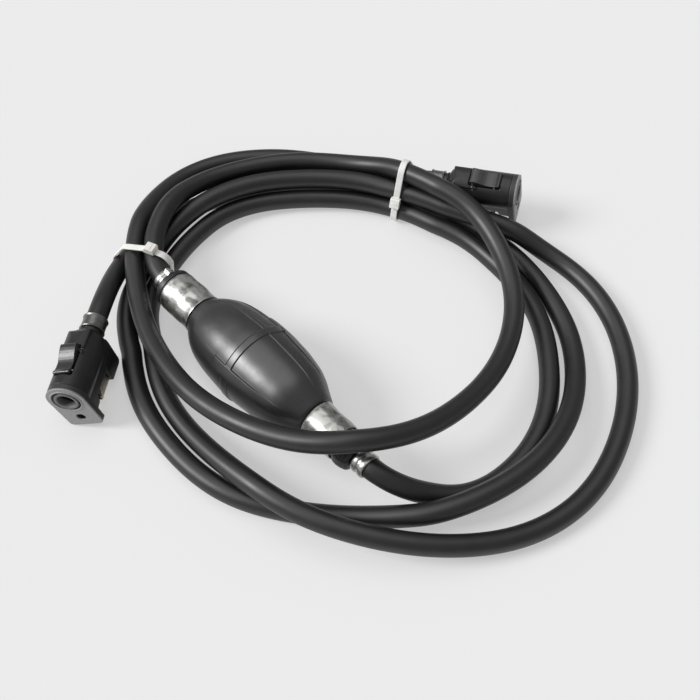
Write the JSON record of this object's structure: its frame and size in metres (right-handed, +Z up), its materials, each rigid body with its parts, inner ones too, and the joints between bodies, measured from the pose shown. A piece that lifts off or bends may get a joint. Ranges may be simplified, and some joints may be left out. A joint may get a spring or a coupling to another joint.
{
  "type": "siphon bulb pump",
  "caption": "Hand siphon and fuel primer: a squeezed rubber bulb with check valves between two coiled fuel hoses that end in latching quick connectors, held in a loop by ties.",
  "frame": {"origin": "on the floor, under the middle of the bulb", "axes": "+Z up; +X to the right and +Y away from the viewer of the picture; the bulb's axis lies 46.5 degrees below +X in plan, inlet at the far left and outlet at the near right"},
  "size_m": [0.3311, 0.2956, 0.0495],
  "materials": {
    "bulb_rubber": "satin moulded rubber",
    "hose_rubber": "satin extruded rubber",
    "black_plastic": "moulded black nylon",
    "grey_plastic": "moulded dark grey nylon",
    "seal_rubber": "matt seal rubber",
    "crimped_steel": "bright crimped stainless sleeve",
    "clamp_steel": "rolled stainless band",
    "spring_steel": "drawn spring wire",
    "latch_steel": "zinc passivated stamping",
    "tie_nylon": "natural nylon"
  },
  "bodies": {
    "pump": {"bulb_shell": "bulb_rubber", "inlet_sleeve": "crimped_steel", "outlet_sleeve": "crimped_steel", "inlet_valve_body": "black_plastic", "outlet_valve_body": "black_plastic", "inlet_valve_spring": "spring_steel", "outlet_valve_spring": "spring_steel", "inlet_valve_cage": "black_plastic", "outlet_valve_seat": "black_plastic", "inlet_clamp": "clamp_steel", "outlet_clamp": "clamp_steel", "engine_hose": "hose_rubber", "tank_hose": "hose_rubber", "left_tie": "tie_nylon", "right_tie": "tie_nylon", "engine_connector_body": "black_plastic", "engine_face_plate": "grey_plastic", "engine_bore_insert": "black_plastic", "engine_o_ring": "seal_rubber", "engine_valve_spring": "spring_steel", "engine_hose_barb": "black_plastic", "engine_lever_pin": "spring_steel", "engine_lever_spring": "spring_steel", "engine_hose_clamp": "clamp_steel", "tank_connector_body": "black_plastic", "tank_face_plate": "grey_plastic", "tank_bore_insert": "black_plastic", "tank_o_ring": "seal_rubber", "tank_valve_spring": "spring_steel", "tank_hose_barb": "black_plastic", "tank_lever_pin": "spring_steel", "tank_lever_spring": "spring_steel", "tank_hose_clamp": "clamp_steel"},
    "bulb_wall": {"bulb_press_wall": "bulb_rubber"},
    "inlet_check_valve": {"inlet_valve_ball": "seal_rubber"},
    "outlet_check_valve": {"outlet_valve_ball": "seal_rubber"},
    "engine_lever": {"engine_release_lever": "black_plastic"},
    "engine_latch": {"engine_latch_clip": "latch_steel"},
    "engine_poppet": {"engine_valve_poppet": "grey_plastic"},
    "tank_lever": {"tank_release_lever": "black_plastic"},
    "tank_latch": {"tank_latch_clip": "latch_steel"},
    "tank_poppet": {"tank_valve_poppet": "grey_plastic"}
  },
  "joints": [
    {"name": "bulb_squeeze", "type": "slide", "parent": "pump", "child": "bulb_wall", "axis": [0.0144, -0.0152, -0.9998], "range_m": [0, 0.01], "stiffness_N_per_m": 500},
    {"name": "inlet_valve_open", "type": "slide", "parent": "pump", "child": "inlet_check_valve", "axis": [0.6882, -0.7252, 0.0209], "range_m": [0, 0.003], "stiffness_N_per_m": 40, "deforming": ["inlet_valve_spring"]},
    {"name": "outlet_valve_open", "type": "slide", "parent": "pump", "child": "outlet_check_valve", "axis": [0.6882, -0.7252, 0.0209], "range_m": [0, 0.003], "stiffness_N_per_m": 40, "deforming": ["outlet_valve_spring"]},
    {"name": "engine_lever_press", "type": "hinge", "parent": "pump", "child": "engine_lever", "pos_m": [-0.10257, 0.0046, 0.03369], "axis": [0.9416, -0.1128, 0.3172], "range_deg": [0, 7.5], "stiffness_Nm_per_rad": 0.4, "deforming": ["engine_lever_spring"]},
    {"name": "engine_latch_release", "type": "slide", "parent": "pump", "child": "engine_latch", "axis": [0.311, -0.0688, -0.9479], "range_m": [0, 0.0016]},
    {"name": "engine_poppet_open", "type": "slide", "parent": "pump", "child": "engine_poppet", "axis": [0.1287, 0.9912, -0.0297], "range_m": [0, 0.0035], "stiffness_N_per_m": 150, "deforming": ["engine_valve_spring"]},
    {"name": "tank_lever_press", "type": "hinge", "parent": "pump", "child": "tank_lever", "pos_m": [0.12837, 0.13518, 0.03405], "axis": [0.2638, 0.9296, 0.2573], "range_deg": [0, 7.5], "stiffness_Nm_per_rad": 0.4, "deforming": ["tank_lever_spring"]},
    {"name": "tank_latch_release", "type": "slide", "parent": "pump", "child": "tank_latch", "axis": [0.1773, 0.2155, -0.9603], "range_m": [0, 0.0016]},
    {"name": "tank_poppet_open", "type": "slide", "parent": "pump", "child": "tank_poppet", "axis": [-0.9481, 0.2989, -0.108], "range_m": [0, 0.0035], "stiffness_N_per_m": 150, "deforming": ["tank_valve_spring"]}
  ],
  "couplings": [
    {"joint": "engine_lever_press", "follows": "engine_latch_release", "rad_per_m": 78},
    {"joint": "tank_lever_press", "follows": "tank_latch_release", "rad_per_m": 78}
  ]
}
